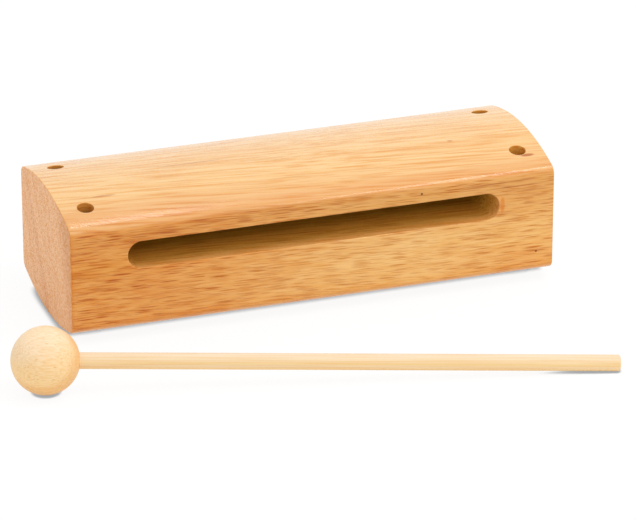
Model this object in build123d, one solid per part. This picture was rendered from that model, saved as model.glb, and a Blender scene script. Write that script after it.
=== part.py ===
from build123d import *

import math
import os

# Block, cut from one length of hardwood. All sizes are in millimetres.
block_length = 188.0
block_depth = 67.0
side_height = 40.0  # flat front and back, between the arches above and below
arch_rise = 5.5  # how far the top and the underside swell past the sides
edge_radius = 3.5  # rounding of the four long edges
end_ease = 0.4  # sanded edge round each end

# Sound slot, milled into the front
slot_width = 10.6
slot_lip = 6.7  # wood on the front above the slot, up to where the arch springs
slot_end_wall = 21.75  # wood from each end of the slot to the end of the block
slot_back_wall = 15.0  # wood behind the slot
slot_ease = 0.4

# Fixing holes, drilled down through the block near its corners
hole_diameter = 6.2
hole_end_inset = 9.75
hole_side_inset = 13.5
hole_ease = 0.3

# Beater, a turned ball glued on a dowel
head_diameter = 25.0
head_far_wall = 10.0  # wood between the socket's floor and the far side of the ball
handle_diameter = 6.0
beater_length = 220.0
handle_tip_radius = 0.9
handle_lead = 0.5  # chamfer that leads the dowel into its socket
glue_gap = 0.05  # all round the dowel in its socket

# Where the beater lies on the table, in front of the block
head_past_end = 19.2  # middle of the ball, past the left end of the block
head_to_front = 20.0  # clear space between the ball and the front of the block
handle_angle = -13.8  # degrees, seen from above

block_middle = arch_rise + side_height / 2
head_radius = head_diameter / 2
handle_radius = handle_diameter / 2


def barrel_section():
    """Two flat sides, joined by an arch above and the same arch below, with rounded corners."""
    side = block_depth / 2
    spring = side_height / 2
    crown = spring + arch_rise
    outline = Curve() + [
        Line((side, -spring), (side, spring)),
        ThreePointArc((side, spring), (0, crown), (-side, spring)),
        Line((-side, spring), (-side, -spring)),
        ThreePointArc((-side, -spring), (0, -crown), (side, -spring)),
    ]
    section = make_face(outline)
    return fillet(section.vertices(), edge_radius)


def blank():
    """The planed length of wood, with its underside resting on the table."""
    end_plane = Plane((0, 0, block_middle), x_dir=(0, 1, 0), z_dir=(1, 0, 0))
    length = extrude(end_plane * barrel_section(), amount=block_length / 2, both=True)
    end_edges = length.faces().filter_by(Axis.X).edges()
    return chamfer(end_edges, end_ease)


def mill_slot(block):
    """A slot with full round ends, cut straight in from the front to a flat back wall."""
    slot_length = block_length - 2 * slot_end_wall
    slot_depth = block_depth - slot_back_wall
    slot_middle = block_middle + side_height / 2 - slot_lip - slot_width / 2
    front = Plane((0, -block_depth / 2, slot_middle), x_dir=(1, 0, 0), z_dir=(0, -1, 0))
    milled = block - extrude(front * SlotOverall(slot_length, slot_width), amount=-slot_depth)
    mouth = new_edges(block, combined=milled).group_by(Axis.Y)[0]
    return chamfer(mouth, slot_ease)


def drill_holes(block):
    """One hole near each corner, straight down through both arches."""
    spacing_x = block_length - 2 * hole_end_inset
    spacing_y = block_depth - 2 * hole_side_inset
    drill = Cylinder(hole_diameter / 2, 2 * block_middle, align=(Align.CENTER, Align.CENTER, Align.MIN))
    drilled = block - GridLocations(spacing_x, spacing_y, 2, 2) * drill
    rims = new_edges(block, combined=drilled).filter_by(GeomType.LINE, reverse=True)
    return chamfer(rims, hole_ease)


def resonator_block():
    """The finished block."""
    return drill_holes(mill_slot(blank()))


# The beater is made along +X with the middle of its ball at zero, and then laid down.
socket_floor = head_far_wall - head_radius
handle_tip = beater_length - head_radius


def beater_head():
    """A ball turned about +X, with a blind, flat-bottomed socket for the dowel."""
    socket_radius = handle_radius + glue_gap
    socket_mouth = math.sqrt(head_radius**2 - socket_radius**2)
    outline = Curve() + [
        ThreePointArc((-head_radius, 0), (0, head_radius), (socket_mouth, socket_radius)),
        Line((socket_mouth, socket_radius), (socket_floor, socket_radius)),
        Line((socket_floor, socket_radius), (socket_floor, 0)),
        Line((socket_floor, 0), (-head_radius, 0)),
    ]
    return revolve(make_face(outline), Axis.X)


def beater_handle():
    """A straight dowel from the socket's floor to its rounded free end."""
    start = Plane((socket_floor, 0, 0), x_dir=(0, 1, 0), z_dir=(1, 0, 0))
    dowel = extrude(start * Circle(handle_radius), amount=handle_tip - socket_floor)
    inner_end = dowel.faces().sort_by(Axis.X)[0]
    dowel = chamfer(inner_end.edges(), handle_lead)
    free_end = dowel.faces().sort_by(Axis.X)[-1]
    return fillet(free_end.edges(), handle_tip_radius)


def handle_drop():
    """Degrees that the handle slopes down, so that the ball and the free end both touch the table.

    The free end touches on its rounded rim: run * sin(drop) + rim * cos(drop) = fall.
    """
    run = handle_tip - handle_tip_radius
    rim = handle_radius - handle_tip_radius
    fall = head_radius - handle_tip_radius
    return math.degrees(math.asin(fall / math.hypot(run, rim)) - math.atan2(rim, run))


def lay_beater(piece):
    """Turn a piece of the beater to lie in front of the block."""
    head_x = -block_length / 2 - head_past_end
    head_y = -block_depth / 2 - head_to_front - head_radius
    place = Pos(head_x, head_y, head_radius)
    return place * Rot(0, 0, handle_angle) * Rot(0, handle_drop(), 0) * piece


pieces = {
    "resonator_block": resonator_block(),
    "beater_head": lay_beater(beater_head()),
    "beater_handle": lay_beater(beater_handle()),
}

os.makedirs("parts", exist_ok=True)
for name, piece in pieces.items():
    export_step(piece, f"parts/{name}.step")
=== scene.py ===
import math

import bmesh
import bpy
import numpy as np
from mathutils import Matrix, Vector


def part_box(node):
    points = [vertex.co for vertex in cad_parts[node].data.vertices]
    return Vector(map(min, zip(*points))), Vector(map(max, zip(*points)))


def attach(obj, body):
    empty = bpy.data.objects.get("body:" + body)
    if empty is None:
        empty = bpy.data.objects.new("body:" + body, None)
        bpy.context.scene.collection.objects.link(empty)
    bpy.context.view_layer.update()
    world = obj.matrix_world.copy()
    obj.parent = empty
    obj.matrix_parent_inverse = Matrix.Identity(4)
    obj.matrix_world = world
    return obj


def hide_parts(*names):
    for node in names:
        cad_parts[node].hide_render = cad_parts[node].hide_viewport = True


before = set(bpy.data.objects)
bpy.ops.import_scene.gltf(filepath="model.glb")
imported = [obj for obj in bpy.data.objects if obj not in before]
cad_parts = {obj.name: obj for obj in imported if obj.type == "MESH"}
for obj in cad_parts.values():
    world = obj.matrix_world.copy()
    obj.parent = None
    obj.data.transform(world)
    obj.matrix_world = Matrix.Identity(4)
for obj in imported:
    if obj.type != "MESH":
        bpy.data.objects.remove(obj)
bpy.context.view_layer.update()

# ---------------------------------------------------------------------------------------------
# Resonator block: one length of pale rubberwood, planed to a barrel section, with a round-ended
# slot milled into the front and four holes drilled down through it. Its edges are sanded, and it
# is finished in clear satin lacquer. Sizes are in millimetres until the mesh is made.
# ---------------------------------------------------------------------------------------------
half_length, half_depth, height = 1000 * np.array(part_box("resonator_block")[1])
middle = height / 2
arch_rise = 5.5
edge_round = 3.5  # the four long edges
end_ease = 0.4  # sanded edge round each end
slot_half_length = 72.25
slot_half_width = 5.3
slot_middle = 33.5
slot_back = 18.5
slot_ease = 0.4
slot_corner = 0.6  # left by the cutter where the walls meet the back
hole_across, hole_along = 20.0, 84.25
hole_radius = 3.1
hole_ease = 0.3
hole_patch = 6.25  # half the square of skin round each hole
slot_patch = 78.0  # the skin round the slot reaches this far to either side
# single marks: place along and across the face, half length, half width and strength
front_marks = [
    (-27.5, 41.3, 4.0, 0.6, 0.7), (71.5, 42.6, 20.0, 0.35, 0.6),
    (80.0, 40.5, 12.0, 0.4, 0.6), (85.0, 38.2, 8.0, 0.35, 0.5)]
top_marks = [
    (61.9, -7.4, 1.4, 1.0, 0.5), (-37.0, 3.0, 16.0, 0.7, 0.6),
    (-75.5, -14.0, 5.5, 0.8, 0.6), (86.8, -23.9, 3.2, 1.1, 1.0)]
specks = [(41.3, 42.5, 0.6, 0.55, 1.0), (87.2, 12.8, 0.6, 0.5, 0.8)]  # pinholes in the front

arch_radius = (half_depth**2 + arch_rise**2) / (2 * arch_rise)
round_y = half_depth - edge_round  # middle of the rounding, out from the block's middle
round_z = height - arch_radius + math.sqrt((arch_radius - edge_round) ** 2 - round_y**2)
arch_lean = math.asin(round_y / (arch_radius - edge_round))  # where the arch meets the rounding
arch_end = arch_radius * math.sin(arch_lean)


def arch(y):
    """Height of the top: a circle through the crown that meets the sides at the arch's rise."""
    return height - arch_radius + np.sqrt(arch_radius**2 - y**2)


def stations(*stops):
    """Points from stop to stop: each pair after the first gives the next stop and its steps."""
    ends = [stops[0]] + [stop for stop, _ in stops[1:]]
    runs = [np.linspace(a, b, steps, endpoint=False) for a, (b, steps) in zip(ends, stops[1:])]
    return np.append(np.concatenate(runs), ends[-1])


def barrel():
    """The section's outline and its outward normals, as (y, z) all the way round.

    Over the top: rounding, arch, rounding. Then down the back, and the same mirrored below.
    """
    tilt = np.linspace(-math.pi / 2, -arch_lean, 9)[:-1]
    y = stations(
        -arch_end, (-hole_across - hole_patch, 4), (hole_patch - hole_across, 12),
        (hole_across - hole_patch, 22), (hole_across + hole_patch, 12), (arch_end, 4))
    front_round = np.stack([
        -round_y + edge_round * np.sin(tilt), round_z + edge_round * np.cos(tilt),
        np.sin(tilt), np.cos(tilt)])
    crown = np.stack([y, arch(y), y / arch_radius, np.sqrt(1 - (y / arch_radius) ** 2)])
    back_round = front_round[:, ::-1] * np.array([[-1], [1], [-1], [1]])
    over = np.hstack([front_round, crown, back_round])
    z = np.linspace(round_z, height - round_z, 25)[1:-1]
    down = np.stack([np.full_like(z, half_depth), z, np.ones_like(z), np.zeros_like(z)])
    top_half = np.hstack([over, down])
    below = np.array([[0], [height], [0], [0]]) - top_half
    return np.hstack([top_half, below])


def block_skin():
    """The outside, as rows of sections: cap, sanded edge, length, sanded edge, cap.

    The sanded edge is a quarter circle that draws the section in along its normals, and a cap
    is the drawn-in section shrunk to the middle of the end. Cells over the slot and the holes
    are left out.
    """
    ease = np.linspace(0, math.pi / 2, 5)
    end_x = half_length - end_ease * (1 - np.sin(ease))
    end_inset = end_ease * (1 - np.cos(ease))
    shrink = np.linspace(1, 0, 8)[1:]
    cap, rolled = np.ones_like(shrink), np.ones(len(ease) - 1)
    hole_in, hole_out = hole_along - hole_patch, hole_along + hole_patch
    x = stations(-end_x[0], (-hole_out, 3), (-hole_in, 12), (hole_in, 104), (hole_out, 12), (end_x[0], 3))
    row_x = np.concatenate([-half_length * cap, -end_x[:0:-1], x, end_x[1:], half_length * cap])
    inset = np.concatenate([end_ease * cap, end_inset[:0:-1], 0 * x, end_inset[1:], end_ease * cap])
    scale = np.concatenate([shrink[::-1], rolled, 0 * x + 1, rolled, shrink])
    y, z, normal_y, normal_z = barrel()
    points = np.empty((len(row_x), len(y), 3))
    points[..., 0] = row_x[:, None]
    points[..., 1] = (y - normal_y * inset[:, None]) * scale[:, None]
    points[..., 2] = middle + (z - middle - normal_z * inset[:, None]) * scale[:, None]
    wrapped = np.hstack([points, points[:, :1]])
    centre = (wrapped[:-1, :-1] + wrapped[1:, 1:]) / 2
    along, across = abs(centre[..., 0]), abs(centre[..., 1])
    over_hole = (abs(along - hole_along) < hole_patch) & (abs(across - hole_across) < hole_patch)
    over_slot = (centre[..., 1] < 0.001 - half_depth) & (along < slot_patch)
    return points, ~(over_hole | over_slot)


def hole_skin(side_x, side_y):
    """One hole, as rows of closed loops from the square of skin on top to the one below.

    A row lies between the square and a circle, the circle rolls over the eased rim as a quarter
    circle, and the straight wall joins it to the same rows mirrored below.
    """
    step = np.linspace(-hole_patch, hole_patch, 13)[:-1]
    edge = np.full_like(step, hole_patch)
    square = np.stack([
        np.concatenate([step, edge, -step, -edge]), np.concatenate([-edge, step, edge, -step])])
    angle = np.linspace(-0.75 * math.pi, 1.25 * math.pi, 49)[:-1]
    circle = np.stack([np.cos(angle), np.sin(angle)])
    part = np.linspace(0, 1, 5)[:, None, None]
    flat = square * (1 - part) + circle * (hole_radius + hole_ease) * part
    roll = np.linspace(0, math.pi / 2, 5)[1:, None, None]
    rim = circle * (hole_radius + hole_ease * (1 - np.sin(roll)))
    wall = np.repeat(rim[-1:], 5, 0)
    rows = np.concatenate([flat, rim, wall])
    x = hole_along * side_x + rows[:, 0]
    y = hole_across * side_y + rows[:, 1]
    mouth = arch(y[4])
    z = np.concatenate([
        arch(y[:5]), mouth - hole_ease * (1 - np.cos(roll[:, 0])),
        np.linspace(mouth - hole_ease, middle, 6)[1:]])
    top = np.stack([x, y, z], -1)
    below = top[-2::-1] * np.array([1, 1, -1]) + np.array([0, 0, height])
    return np.concatenate([top, below]), None


def slot_skin():
    """The slot, as rows of closed loops from the skin of the front to the line down its back wall.

    A row lies between a rectangle and a round-ended outline, the outline rolls over the eased
    rim, runs straight in, turns through the cutter's corner, and closes on its own middle line.
    """
    straight = slot_half_length - slot_half_width
    run = np.linspace(-1, 1, 105)[:-1]
    turn = np.linspace(-1, 1, 25)[:-1]
    edge = np.ones_like(turn)
    low, high = height - round_z - slot_middle, round_z - slot_middle
    rise = low + (high - low) * (turn + 1) / 2
    rectangle = np.stack([
        np.concatenate([slot_patch * run, slot_patch * edge, -slot_patch * run, -slot_patch * edge]),
        np.concatenate([np.full_like(run, low), rise, np.full_like(run, high), low + high - rise])])
    spine = np.stack([
        np.concatenate([straight * run, straight * edge, -straight * run, -straight * edge]),
        np.zeros(2 * len(run) + 2 * len(turn))])
    bend = turn * math.pi / 2
    out = np.stack([
        np.concatenate([0 * run, np.cos(bend), 0 * run, -np.cos(bend)]),
        np.concatenate([0 * run - 1, np.sin(bend), 0 * run + 1, -np.sin(bend)])])
    part = np.linspace(0, 1, 6)[:, None, None]
    roll = np.linspace(0, math.pi / 2, 6)[1:, None, None]
    front = rectangle * (1 - part) + (spine + out * (slot_half_width + slot_ease)) * part
    rim = spine + out * (slot_half_width + slot_ease * (1 - np.sin(roll)))
    wall = np.repeat(rim[-1:], 16, 0)
    corner = spine + out * (slot_half_width - slot_corner * (1 - np.cos(roll)))
    back = spine + out * (slot_half_width - slot_corner) * np.linspace(1, 0, 5)[1:, None, None]
    rows = np.concatenate([front, rim, wall, corner, back])
    depth = np.concatenate([
        np.zeros(6), slot_ease * (1 - np.cos(roll.ravel())),
        np.linspace(slot_ease, half_depth + slot_back - slot_corner, 17)[1:],
        half_depth + slot_back - slot_corner * (1 - np.sin(roll.ravel())),
        np.full(4, half_depth + slot_back)])
    y = np.broadcast_to((depth - half_depth)[:, None], rows[:, 0].shape)
    return np.stack([rows[:, 0], y, slot_middle + rows[:, 1]], -1), None


def make_piece(name, sheets, material):
    """A smooth mesh from sheets of points in millimetres, merged where they meet.

    A sheet is rows of closed loops, so each row's last point joins its first. With it comes a
    mask of the cells to keep, or None for all.
    """
    points, faces, first = [], [], 0
    for sheet, keep in sheets:
        rows, columns, _ = sheet.shape
        index = first + np.arange(rows * columns).reshape(rows, columns)
        index = np.hstack([index, index[:, :1]])
        cells = np.stack([index[:-1, :-1], index[:-1, 1:], index[1:, 1:], index[1:, :-1]], -1)
        faces.append(cells.reshape(-1, 4) if keep is None else cells[keep])
        points.append(sheet.reshape(-1, 3))
        first += rows * columns
    mesh = bpy.data.meshes.new(name)
    mesh.from_pydata(np.concatenate(points) / 1000, [], np.concatenate(faces))
    merged = bmesh.new()
    merged.from_mesh(mesh)
    bmesh.ops.remove_doubles(merged, verts=merged.verts, dist=2e-6)
    bmesh.ops.recalc_face_normals(merged, faces=merged.faces)
    merged.to_mesh(mesh)
    merged.free()
    mesh.shade_smooth()
    mesh.materials.append(material)
    piece = bpy.data.objects.new(name, mesh)
    bpy.context.scene.collection.objects.link(piece)
    weighted = piece.modifiers.new("flat_faces_lead", "WEIGHTED_NORMAL")
    weighted.weight = 80
    return piece


class Wire:
    """A socket in a material. Sums and products of wires and numbers add Math nodes."""

    def __init__(self, tree, socket=None):
        self.tree, self.socket = tree, socket

    def node(self, kind, settings=None, sockets=None, out=0):
        """A new node of this type: its settings are set first, then its sockets' values or links."""
        made = self.tree.nodes.new(kind)
        for name, value in (settings or {}).items():
            setattr(made, name, value)
        for name, value in (sockets or {}).items():
            if isinstance(value, Wire):
                self.tree.links.new(value.socket, made.inputs[name])
            else:
                made.inputs[name].default_value = value
        return Wire(self.tree, made.outputs[out] if made.outputs else None)

    def output(self, name):
        """Another output of the node that this wire comes from."""
        return Wire(self.tree, self.socket.node.outputs[name])

    def math(self, operation, *values):
        return self.node("ShaderNodeMath", {"operation": operation}, dict(enumerate(values)))

    def __add__(self, other):
        return self.math("ADD", self, other)

    def __radd__(self, other):
        return self.math("ADD", other, self)

    def __sub__(self, other):
        return self.math("SUBTRACT", self, other)

    def __rsub__(self, other):
        return self.math("SUBTRACT", other, self)

    def __mul__(self, other):
        return self.math("MULTIPLY", self, other)

    def __rmul__(self, other):
        return self.math("MULTIPLY", other, self)

    def __abs__(self):
        return self.math("ABSOLUTE", self)


def ramp(value, low, high, to_low=0.0, to_high=1.0):
    """A smooth step from to_low at low up to to_high at high."""
    return value.node(
        "ShaderNodeMapRange", {"interpolation_type": "SMOOTHSTEP"},
        {0: value, 1: low, 2: high, 3: to_low, 4: to_high})


def within(value, low, high, soft):
    """One between low and high, fading to zero over a soft margin outside them."""
    return ramp(value, low - soft, low) * ramp(value, high, high + soft, 1.0, 0.0)


def strongest(first, *others):
    """The largest of several wires and numbers, of which the first is a wire."""
    for other in others:
        first = first.math("MAXIMUM", first, other)
    return first


def length(one_way, across):
    """The root of the sum of two squares."""
    return one_way.math("SQRT", one_way * one_way + across * across)


def blend(share, colour, other):
    """Mix two colours by share: 0 gives the first and 1 the other."""
    return share.node("ShaderNodeMix", {"data_type": "RGBA"}, {0: share, 6: colour, 7: other}, 2)


def stain(share, colour, tint):
    """Multiply a colour by a tint, by share: 0 leaves it and 1 takes the whole tint."""
    return share.node(
        "ShaderNodeMix", {"data_type": "RGBA", "blend_type": "MULTIPLY"}, {0: share, 6: colour, 7: tint}, 2)


def stretched(place, size):
    """Coordinates in which a patch of this size in millimetres along x, y and z is one unit."""
    return place.node("ShaderNodeMapping", {"vector_type": "TEXTURE"}, {"Vector": place, "Scale": size})


def clouds(place, size, detail, out="Fac"):
    """Soft noise whose patches have this size in millimetres."""
    patches = {"Vector": stretched(place, size), "Scale": 1.0, "Detail": detail}
    return place.node("ShaderNodeTexNoise", {}, patches, out)


def sway(place, size, amount):
    """The same coordinates, pushed sideways across the grain by soft noise."""
    push = clouds(place, size, 1.0, "Color")
    push = push.node("ShaderNodeVectorMath", {"operation": "SUBTRACT"}, {0: push, 1: (0.5, 0.5, 0.5)})
    return push.node(
        "ShaderNodeVectorMath", {"operation": "MULTIPLY_ADD"}, {0: push, 1: (0, amount, amount), 2: place})


def vessels(place, size, reach):
    """Long thin pores: the nearest of scattered points, in space stretched along the grain.

    A pore is dark at its point and fades out at reach, and each has a strength of its own.
    """
    cells = {"Vector": stretched(place, size), "Scale": 1.0}
    near = place.node("ShaderNodeTexVoronoi", {}, cells, "Distance")
    strength = near.node("ShaderNodeSeparateColor", {}, {0: near.output("Color")})
    return ramp(near, 0.25 * reach, reach, 1.0, 0.0) * ramp(strength, 0.1, 1.0, 0.1, 1.0)


def axes(place):
    """The three coordinates of a place."""
    x = place.node("ShaderNodeSeparateXYZ", {}, {0: place})
    return x, x.output("Y"), x.output("Z")


def new_wood(name, place=(0, 0, 0), turn=(0, 0, 0)):
    """A material, its shader, and the Object coordinates in millimetres from a place and turn."""
    material = bpy.data.materials.new(name)
    material.use_nodes = True
    tree = material.node_tree
    here = Wire(tree).node("ShaderNodeTexCoord", out="Object")
    here = here.node(
        "ShaderNodeMapping", {"vector_type": "TEXTURE"},
        {"Vector": here, "Location": place, "Rotation": turn, "Scale": (0.001, 0.001, 0.001)})
    return material, tree.nodes["Principled BSDF"], here


def finish_wood(shader, gloss, colour, roughness, lacquer, relief, depth):
    """Join what varies over a wood to its shader. The relief is as deep as depth, in metres.

    Gloss is how much the bare wood itself reflects, under any lacquer.
    """
    raised = {"Strength": 1.0, "Distance": depth, "Height": relief}
    bump = relief.node("ShaderNodeBump", {}, raised, "Normal")
    varying = {"Base Color": colour, "Roughness": roughness, "Coat Weight": lacquer, "Normal": bump}
    for name, wire in varying.items():
        relief.tree.links.new(wire.socket, shader.inputs[name])
    shader.inputs["Coat Roughness"].default_value = 0.14
    shader.inputs["Specular IOR Level"].default_value = gloss


def mark(x, across, place, long, wide):
    """A soft-edged streak at a place on a face: an ellipse of this half length and half width."""
    off_x, off_across = (x - place[0]) * (1 / long), (across - place[1]) * (1 / wide)
    return ramp(off_x * off_x + off_across * off_across, 0.2, 1.0, 1.0, 0.0)


def lacquered_rubberwood():
    """Flat-sawn rubberwood: the front and back show short brown pores, the top long soft streaks.

    The grain runs a little off the length: towards the front, and down, most of all in the middle.
    """
    material, shader, place = new_wood("lacquered_rubberwood")
    x, y, z = axes(place)
    sunk = z + 0.022 * x + ramp(x, -20, 50, 0.0, 2.2)
    bent = place.node("ShaderNodeCombineXYZ", {}, {0: x, 1: y + 0.09 * x, 2: sunk})
    grain = sway(bent, (90, 24, 24), 3.0)
    frayed = sway(grain, (16, 2.5, 2.5), 0.3)
    # how each face is cut: front and back along the rings, top and underside across them
    side_face = ramp(abs(y), half_depth - 0.8, half_depth - 0.01)
    end_face = ramp(abs(x), half_length - 0.35, half_length - 0.05)
    from_hole = length(abs(x) - hole_along, abs(y) - hole_across) - hole_radius
    in_hole = ramp(from_hole, -0.02, 0.15, 1.0, 0.0)
    past_slot_end = strongest(abs(x) - (slot_half_length - slot_half_width), 0.0)
    from_slot = length(past_slot_end, z - slot_middle) - slot_half_width
    in_slot = ramp(from_slot, -0.02, 0.08, 1.0, 0.0) * within(y, 0.6 - half_depth, slot_back + 0.2, 0.5)

    tone = clouds(grain, (50, 14, 8), 2.0)
    flame = clouds(grain, (16, 5, 2.5), 2.0)
    fibre = clouds(frayed, (15, 1.3, 0.36), 2.0)
    rings = clouds(grain, (300, 2.4, 45), 2.0)
    streaks = clouds(grain, (32, 1.1, 0.8), 2.0)
    dashes = clouds(frayed, (11, 1.5, 0.36), 1.0)
    short_pores = vessels(frayed, (11, 2.4, 0.64), 0.54)
    long_pores = vessels(frayed, (36, 1.3, 1.3), 0.4)
    speckle = clouds(place, (1.2, 0.9, 0.9), 1.0)

    # the front goes from ruddy on the left to yellow on the right
    ruddy = ramp(x + 40 * (tone - 0.5), -70, 30, 1.0, 0.0)
    front = blend(ruddy, (0.945, 0.592, 0.226, 1), (0.845, 0.41, 0.105, 1))
    front = stain(ramp(x, 60, 88), front, (1.0, 0.95, 0.87, 1))
    # darker towards the lip: painted shade, standing in for the floor lighting the lower front more
    front = stain(ramp(z, 16, 44) * (1 - 0.6 * ruddy), front, (0.84, 0.71, 0.56, 1))
    front = stain(ramp(x, 25, 75) * ramp(z, 8, 24, 1.0, 0.0), front, (0.97, 0.88, 0.77, 1))
    front = stain(ramp(tone, 0.4, 0.75), front, (0.95, 0.87, 0.76, 1))
    front = stain(ramp(flame, 0.42, 0.72) * (0.6 + 0.4 * ruddy), front, (0.95, 0.83, 0.62, 1))
    front = stain(ramp(fibre, 0.38, 0.72) * (0.5 + 0.3 * ruddy), front, (0.9, 0.72, 0.4, 1))
    pores = strongest(short_pores, long_pores, 0.65 * ramp(dashes, 0.53, 0.68))
    deep = strongest(ruddy, ramp(z, 36, 40), ramp(x, 74, 84))
    front = stain(pores * (0.75 + 0.25 * deep), front, (0.62, 0.32, 0.02, 1))
    # the top is paler, with long streaks
    top = stain(ramp(rings, 0.35, 0.7), (0.885, 0.574, 0.252, 1), (0.97, 0.87, 0.72, 1))
    top = stain(ramp(streaks, 0.42, 0.7), top, (0.9, 0.68, 0.4, 1))
    top = stain(long_pores * 0.6, top, (0.75, 0.5, 0.2, 1))
    # darker along the top's front margin: painted shade, for the arch there catching less light and sheen than
    # its crown
    top = stain(ramp(y, -26, -13, 1.0, 0.0) * (0.4 + 0.6 * ruddy), top, (0.92, 0.78, 0.68, 1))
    top = stain(ramp(y, -30, -24, 1.0, 0.0) * (1 - 0.7 * ruddy), top, (0.95, 0.83, 0.72, 1))
    colour = blend(side_face, top, front)
    # the figure along the upper lip, where the front cuts through a darker ring
    lip_line = ramp(x, -80, -25, 40.3, 44.2)
    lip_width = ramp(x, -60, 10, 2.2, 0.9)
    off_lip = abs(z - lip_line + 3 * (streaks - 0.5))
    figure = ramp(off_lip - lip_width, -0.8, 0.6, 1.0, 0.0)
    figure = figure * within(x, -62, 20, 22) * ramp(y, -31.5, -29.5, 1.0, 0.0)
    colour = stain(figure * ramp(fibre, 0.35, 0.65, 0.15, 1.0), colour, (0.8, 0.64, 0.37, 1))
    # single dark streaks on the front and the top, and pinholes in the front
    on_front, on_top = ramp(y, -32, -30, 1.0, 0.0), ramp(z, 44, 46)
    marks = [
        strength * face * mark(x, across, (at_x, at_across), long, wide)
        for across, face, face_marks in ((z, on_front, front_marks), (y, on_top, top_marks))
        for at_x, at_across, long, wide, strength in face_marks]
    colour = stain(strongest(*marks), colour, (0.62, 0.34, 0.14, 1))
    for at_x, at_z, long, wide, strength in specks:
        speck = strength * on_front * mark(x, z, (at_x, at_z), long, wide)
        colour = stain(speck, colour, (0.2, 0.13, 0.06, 1))
    # a ruddy patch beside the right end of the slot
    colour = stain(0.8 * on_front * mark(x, z, (73.4, 33.6), 1.2, 3.8), colour, (0.94, 0.58, 0.2, 1))
    # warmer and darker along the lower edge and the front's left edge: painted shade
    painted_edge_shade = strongest(ramp(z, 7, 10.5, 1.0, 0.0), ramp(x, -93.7, -92.6, 1.0, 0.0))
    colour = stain(painted_edge_shade * side_face * 0.6, colour, (0.95, 0.75, 0.4, 1))
    # the ends show leaning rings, one of them darker, and go darker towards the front and the table
    ring_place = y - 0.6 * (z - middle) + 6 * (tone - 0.5)
    dark_ring = 0.55 * ramp(abs(ring_place - 15), 0.5, 5, 1.0, 0.0)
    end_tint = dark_ring + 0.7 * ramp(y + 0.25 * (middle - z), -34, -14, 1.0, 0.0)
    ring_lines = clouds(place.node("ShaderNodeCombineXYZ", {}, {1: ring_place, 2: z}), (1, 2.2, 60), 2.0)
    end_colour = stain(ramp(speckle, 0.35, 0.7), (0.925, 0.485, 0.195, 1), (0.9, 0.84, 0.78, 1))
    end_colour = stain(ramp(ring_lines, 0.4, 0.68), end_colour, (0.94, 0.87, 0.8, 1))
    end_colour = stain(ramp(y - 0.3 * (z - 10), -38, -26, 1.0, 0.0), end_colour, (0.92, 0.85, 0.6, 1))
    lower_front = ramp(z, 7, 17, 1.0, 0.0) * ramp(y, 0, 18, 1.0, 0.0)
    end_colour = stain(lower_front, end_colour, (0.98, 0.93, 0.83, 1))
    colour = blend(end_face, colour, stain(end_tint, end_colour, (0.87, 0.78, 0.72, 1)))
    # bare wood inside the slot and the holes; deeper in the slot it turns darker and greener, as painted shade
    slot_colour = stain(ramp(streaks, 0.4, 0.7), (0.8, 0.47, 0.07, 1), (0.8, 0.7, 0.55, 1))
    slot_colour = stain(long_pores, slot_colour, (0.75, 0.55, 0.3, 1))
    slot_colour = stain(ramp(y, -23, -12), slot_colour, (0.66, 0.74, 0.38, 1))
    colour = blend(in_slot * ramp(y, -36, -24), colour, slot_colour)
    # the holes' darkening is painted shade: darker on the left than on the right, and darker with depth
    hole_shade = blend(ramp(x, -20, 20), (0.86, 0.67, 0.36, 1), (0.94, 0.74, 0.34, 1))
    hole_shade = stain(ramp(z, 46, 49, 1.0, 0.0), hole_shade, (0.84, 0.88, 0.8, 1))
    colour = stain(in_hole, colour, hole_shade)
    # the lacquer is thinner on the front and back, thinnest on the ends, and speckled with fine dimples
    lacquer = 1.0 - 0.35 * side_face - 0.6 * end_face - 0.65 * in_slot - in_hole
    lacquer = lacquer - 0.4 * ramp(speckle, 0.45, 0.6)
    finish_wood(
        shader, 0.12, colour=colour, roughness=0.4 + 0.15 * pores + 0.08 * fibre + 0.4 * in_slot,
        lacquer=lacquer, relief=0.5 * fibre - 0.5 * pores, depth=0.00003)
    return material


holes = [hole_skin(side_x, side_y) for side_x in (-1, 1) for side_y in (-1, 1)]
block = make_piece("lacquered_block", [block_skin(), slot_skin()] + holes, lacquered_rubberwood())
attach(block, "block")
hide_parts("resonator_block")

# ---------------------------------------------------------------------------------------------
# Beater head: a ball of pale close-grained wood, turned on a lathe, sanded and left with a thin
# clear finish. It has a blind socket for the handle, its mouth just broken with sandpaper.
# ---------------------------------------------------------------------------------------------
ball_radius = 12.5
ball_middle = 1000 * np.array(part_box("beater_head")[0]) + ball_radius
socket_radius = 3.05
socket_floor = -2.5
mouth_ease = 0.25
handle_plan = math.radians(-13.8)  # the handle's direction, seen from above
handle_fall = math.radians(2.641)  # and how far it slopes down to the table
beater_axes = np.array(Matrix.Rotation(handle_plan, 3, "Z") @ Matrix.Rotation(handle_fall, 3, "Y"))
beater_place = ball_middle / 1000, (0, handle_fall, handle_plan)  # in metres, and turns about x, y and z


def turned(along, radius, around):
    """A profile of distances along the beater and radii, carried round its axis as closed loops."""
    angle = np.linspace(0, 2 * math.pi, around + 1)[:-1]
    local = np.stack([
        np.broadcast_to(along[:, None], (len(along), around)),
        radius[:, None] * np.cos(angle), radius[:, None] * np.sin(angle)], -1)
    return local @ beater_axes.T + ball_middle, None


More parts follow.
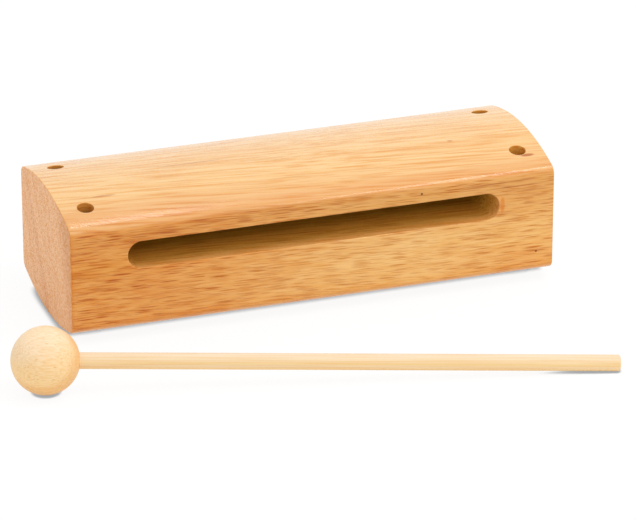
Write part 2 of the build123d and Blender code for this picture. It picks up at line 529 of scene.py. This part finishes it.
def ball_profile():
    """Half a circle from the far pole to the socket's mouth, then the eased mouth and the socket."""
    stop = math.asin((socket_radius + mouth_ease) / ball_radius)
    sweep = np.linspace(math.pi, stop, 61)
    roll = np.linspace(0, math.pi / 2, 5)[1:]
    mouth = ball_radius * math.cos(stop)
    along = np.concatenate([
        ball_radius * np.cos(sweep), mouth - mouth_ease * (1 - np.cos(roll)),
        np.linspace(mouth - mouth_ease, socket_floor, 8)[1:], np.full(3, socket_floor)])
    radius = np.concatenate([
        ball_radius * np.sin(sweep), socket_radius + mouth_ease * (1 - np.sin(roll)),
        np.full(7, socket_radius), np.linspace(socket_radius, 0, 4)[1:]])
    return along, radius


def turned_ball_wood():
    """Pale turned wood with fine flecks along the grain, and dots where the ends of the grain show."""
    material, shader, place = new_wood("turned_ball_wood", *beater_place)
    x, y, z = axes(place)
    tone = clouds(place, (22, 7, 7), 2.0)
    fibre = clouds(place, (4, 0.55, 0.55), 2.0)
    flecks = vessels(place, (3, 1.0, 1.0), 0.32)
    # a warmer, darker ring, whose middle runs across the handle, a little off the ball's own middle: partly a
    # growth ring, partly painted shade round the ball's rim
    ring_x, ring_z = x + 2.5, z + 0.4 * y - 2.5
    ring = ramp(length(ring_x, ring_z) + 4 * (tone - 0.5), 10.5, 14)
    # deeper orange below and a paler cream towards the top: painted shade and a painted highlight
    colour = blend(ramp(z + 8 * (tone - 0.5), -10, 10), (0.995, 0.7, 0.345, 1), (0.98, 0.7, 0.39, 1))
    colour = blend(ramp(z - 0.3 * x, 2, 11), colour, (0.97, 0.755, 0.515, 1))
    colour = stain(ring, colour, (0.95, 0.83, 0.69, 1))
    colour = stain(ramp(fibre, 0.35, 0.7), colour, (0.95, 0.86, 0.72, 1))
    colour = stain(flecks, colour, (0.86, 0.72, 0.54, 1))
    finish_wood(
        shader, 0.3, colour=colour, roughness=0.5 + 0.1 * fibre, lacquer=0.15 - 0.15 * flecks,
        relief=0.5 * fibre - 0.5 * flecks, depth=0.00002)
    return material


ball = make_piece("turned_ball", [turned(*ball_profile(), 96)], turned_ball_wood())
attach(ball, "beater")
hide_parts("beater_head")

# ---------------------------------------------------------------------------------------------
# Beater handle: a straight dowel of pale wood, run through a dowel cutter and sanded. One end is
# chamfered and glued into the ball, the other is rounded over.
# ---------------------------------------------------------------------------------------------
dowel_radius = 3.0
dowel_lead = 0.5
dowel_end = 207.5
tip_round = 0.9


def dowel_profile():
    """Out from the middle of the glued end, over its chamfer, along, and round the tip to the middle."""
    roll = np.linspace(0, math.pi / 2, 9)[1:]
    tip_start = dowel_end - tip_round
    along = np.concatenate([
        np.full(4, socket_floor), np.linspace(socket_floor, socket_floor + dowel_lead, 4)[1:],
        np.linspace(socket_floor + dowel_lead, tip_start, 71)[1:],
        tip_start + tip_round * np.sin(roll), np.full(4, dowel_end)])
    radius = np.concatenate([
        np.linspace(0, dowel_radius - dowel_lead, 4),
        np.linspace(dowel_radius - dowel_lead, dowel_radius, 4)[1:], np.full(70, dowel_radius),
        dowel_radius - tip_round * (1 - np.cos(roll)), np.linspace(dowel_radius - tip_round, 0, 5)[1:]])
    return along, radius


def dowel_wood():
    """Straight-grained pale wood: cream and yellow stripes along it, a pink painted highlight on top, painted
    shade below.
    """
    material, shader, place = new_wood("dowel_wood", *beater_place)
    stripe = clouds(place, (500, 1.3, 1.3), 2.0)
    fibre = clouds(place, (40, 0.4, 0.4), 1.0)
    _, _, z = axes(place)
    colour = blend(ramp(stripe, 0.35, 0.65), (0.945, 0.69, 0.415, 1), (0.935, 0.665, 0.3, 1))
    # the upper side paler and pinker as a painted highlight, the underside deeper orange as painted shade
    colour = blend(ramp(z, 0.3, 2.6) * 0.55, colour, (0.86, 0.74, 0.62, 1))
    colour = blend(ramp(z, -2.5, -0.5, 1.0, 0.0) * 0.6, colour, (0.97, 0.67, 0.32, 1))
    colour = stain(ramp(fibre, 0.4, 0.7), colour, (0.96, 0.86, 0.72, 1))
    finish_wood(
        shader, 0.3, colour=colour, roughness=0.5 + 0.1 * fibre, lacquer=0.15 - 0.1 * fibre,
        relief=fibre, depth=0.00002)
    return material


handle = make_piece("dowel_handle", [turned(*dowel_profile(), 48)], dowel_wood())
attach(handle, "beater")
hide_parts("beater_handle")

# ---------------------------------------------------------------------------------------------
# Studio: a flat floor of white paper in a white room, one large soft lamp overhead and two narrow
# ones for the front's upper edge. Floor and room show as plain white to the camera and in
# reflections. The floor keeps a faint real shadow, and a painted contact shadow close under the pieces.
# ---------------------------------------------------------------------------------------------
def seen(tree):
    """One for the rays that show the background: from the camera, or by way of gloss or glass."""
    ray = Wire(tree).node("ShaderNodeLightPath", out="Is Camera Ray")
    return strongest(ray, ray.output("Is Glossy Ray"), ray.output("Is Transmission Ray"))


def open_floor(wire, reach, dark, clear):
    """How clear the wire's material is of pieces within reach, in metres: 0 close under one, 1 in the open."""
    sky = wire.node("ShaderNodeAmbientOcclusion", {"samples": 16}, {"Distance": reach}, "AO")
    return ramp(sky, dark, clear)


floor_radius = 5.0
floor_mesh = bpy.data.meshes.new("paper_floor")
floor_ring = np.linspace(0, 2 * math.pi, 65)[:-1]
floor_rim = floor_radius * np.stack([np.cos(floor_ring), np.sin(floor_ring), 0 * floor_ring], -1)
floor_mesh.from_pydata(floor_rim, [], [list(range(len(floor_rim)))])
paper = bpy.data.materials.new("white_paper")
paper.use_nodes = True
paper.node_tree.nodes.clear()
shown = seen(paper.node_tree)
matt = shown.node("ShaderNodeBsdfDiffuse", {}, {"Color": (0.88, 0.88, 0.88, 1)})
# painted contact shadow: close under a piece the paper's glow goes dark within a few millimetres;
# places on the floor are in metres
floor_x, floor_y, _ = axes(shown.node("ShaderNodeTexCoord", out="Object"))
under_block = open_floor(shown, 0.0029, 0.45, 0.98)
under_beater = open_floor(shown, 0.0014, 0.35, 0.95)
# below the block's holes the painted shadow stays dark too, and just past the block's ends it is white again
below_hole = mark(abs(floor_x), abs(floor_y), (hole_along / 1000, hole_across / 1000), 0.0065, 0.0065)
dark_below = ramp(abs(floor_y), 0.0205, 0.0252) + ramp(below_hole, 0.0, 0.6, 1.0, 0.0)
past_ends = ramp(abs(floor_x), 0.0943, 0.0962, 0.0, 0.9)
under_block = strongest(under_block.math("MINIMUM", under_block, dark_below), past_ends)
by_block = ramp(floor_y, -0.05, -0.045)
open_air = by_block * under_block + (1 - by_block) * under_beater
paper_painted_shadow = blend(open_air, (0.38, 0.4, 0.42, 1), (1, 1, 1, 1))
glow = shown.node("ShaderNodeEmission", {}, {"Color": paper_painted_shadow, "Strength": 1.02})
mostly_white = shown.node("ShaderNodeMixShader", {}, {0: 0.9, 1: matt, 2: glow})
surface = shown.node("ShaderNodeMixShader", {}, {0: shown, 1: matt, 2: mostly_white})
surface.node("ShaderNodeOutputMaterial", {}, {"Surface": surface})
floor_mesh.materials.append(paper)
paper_floor = bpy.data.objects.new("paper_floor", floor_mesh)
bpy.context.scene.collection.objects.link(paper_floor)

room = bpy.data.worlds.new("white_room")
room.use_nodes = True
bpy.context.scene.world = room
background = room.node_tree.nodes["Background"]
background.inputs["Color"].default_value = (1, 1, 1, 1)
room_light, room_white = 0.845, 1.0  # what the room gives the pieces, and what it shows as
room_strength = ramp(seen(room.node_tree), 0.0, 1.0, room_light, room_white)
room.node_tree.links.new(room_strength.socket, background.inputs["Strength"])

lamp_aim = Vector((0, 0, 0.03))  # a little above the middle of the block


def facing(place, across, up, back):
    """The frame of a lamp or camera at a place, from its own three axes. It looks opposite to back."""
    return Matrix.Translation(place) @ Matrix((across, up, back)).transposed().to_4x4()


def soft_lamp(name, start, end, width, power, reflected=True):
    """A rectangular lamp from start to end, turned to face the block. It can be kept out of reflections."""
    start, end = Vector(start), Vector(end)
    lamp = bpy.data.lights.new(name, "AREA")
    lamp.shape, lamp.size, lamp.size_y, lamp.energy = "RECTANGLE", (end - start).length, width, power
    across = (end - start).normalized()
    away = (start + end) / 2 - lamp_aim
    away = (away - across * away.dot(across)).normalized()
    lit = bpy.data.objects.new(name, lamp)
    lit.matrix_world = facing((start + end) / 2, across, away.cross(across), away)
    lit.visible_glossy = reflected
    bpy.context.scene.collection.objects.link(lit)


soft_lamp("overhead_lamp", (-0.05, -0.35, 1.05), (0.65, -0.35, 1.05), 0.7, 3.25, reflected=False)
# two narrow lamps that show only in the lacquer of the front's upper edge, near either end
soft_lamp("left_edge_lamp", (0.14, 0.467, 0.86), (0.22, 0.487, 0.846), 0.045, 0.1)
soft_lamp("right_edge_lamp", (0.43, 0.085, 0.98), (0.34, -0.45, 0.945), 0.1, 1.0)

# ---------------------------------------------------------------------------------------------
# Camera: a long lens from the left front, a little above, framed on the block and its beater.
# ---------------------------------------------------------------------------------------------
view_turn, view_rise = math.radians(-18.827), math.radians(24.072)
view_distance = 1.6997
aim_right, aim_down = 0.01144, 0.01641  # how far the view is aimed off the middle of the block
level = math.cos(view_rise)
camera_back = Vector((math.sin(view_turn) * level, -math.cos(view_turn) * level, math.sin(view_rise)))
camera_right = Vector((math.cos(view_turn), math.sin(view_turn), 0))
camera_up = camera_back.cross(camera_right)
aim = Vector((0, 0, middle / 1000)) + camera_right * aim_right - camera_up * aim_down
lens = bpy.data.cameras.new("long_lens")
lens.sensor_fit, lens.sensor_width, lens.lens = "HORIZONTAL", 36.0, 256.16
camera = bpy.data.objects.new("long_lens", lens)
camera.matrix_world = facing(aim + camera_back * view_distance, camera_right, camera_up, camera_back)
bpy.context.scene.collection.objects.link(camera)
bpy.context.scene.camera = camera
bpy.context.scene.view_settings.view_transform = "Standard"

bpy.context.view_layer.update()
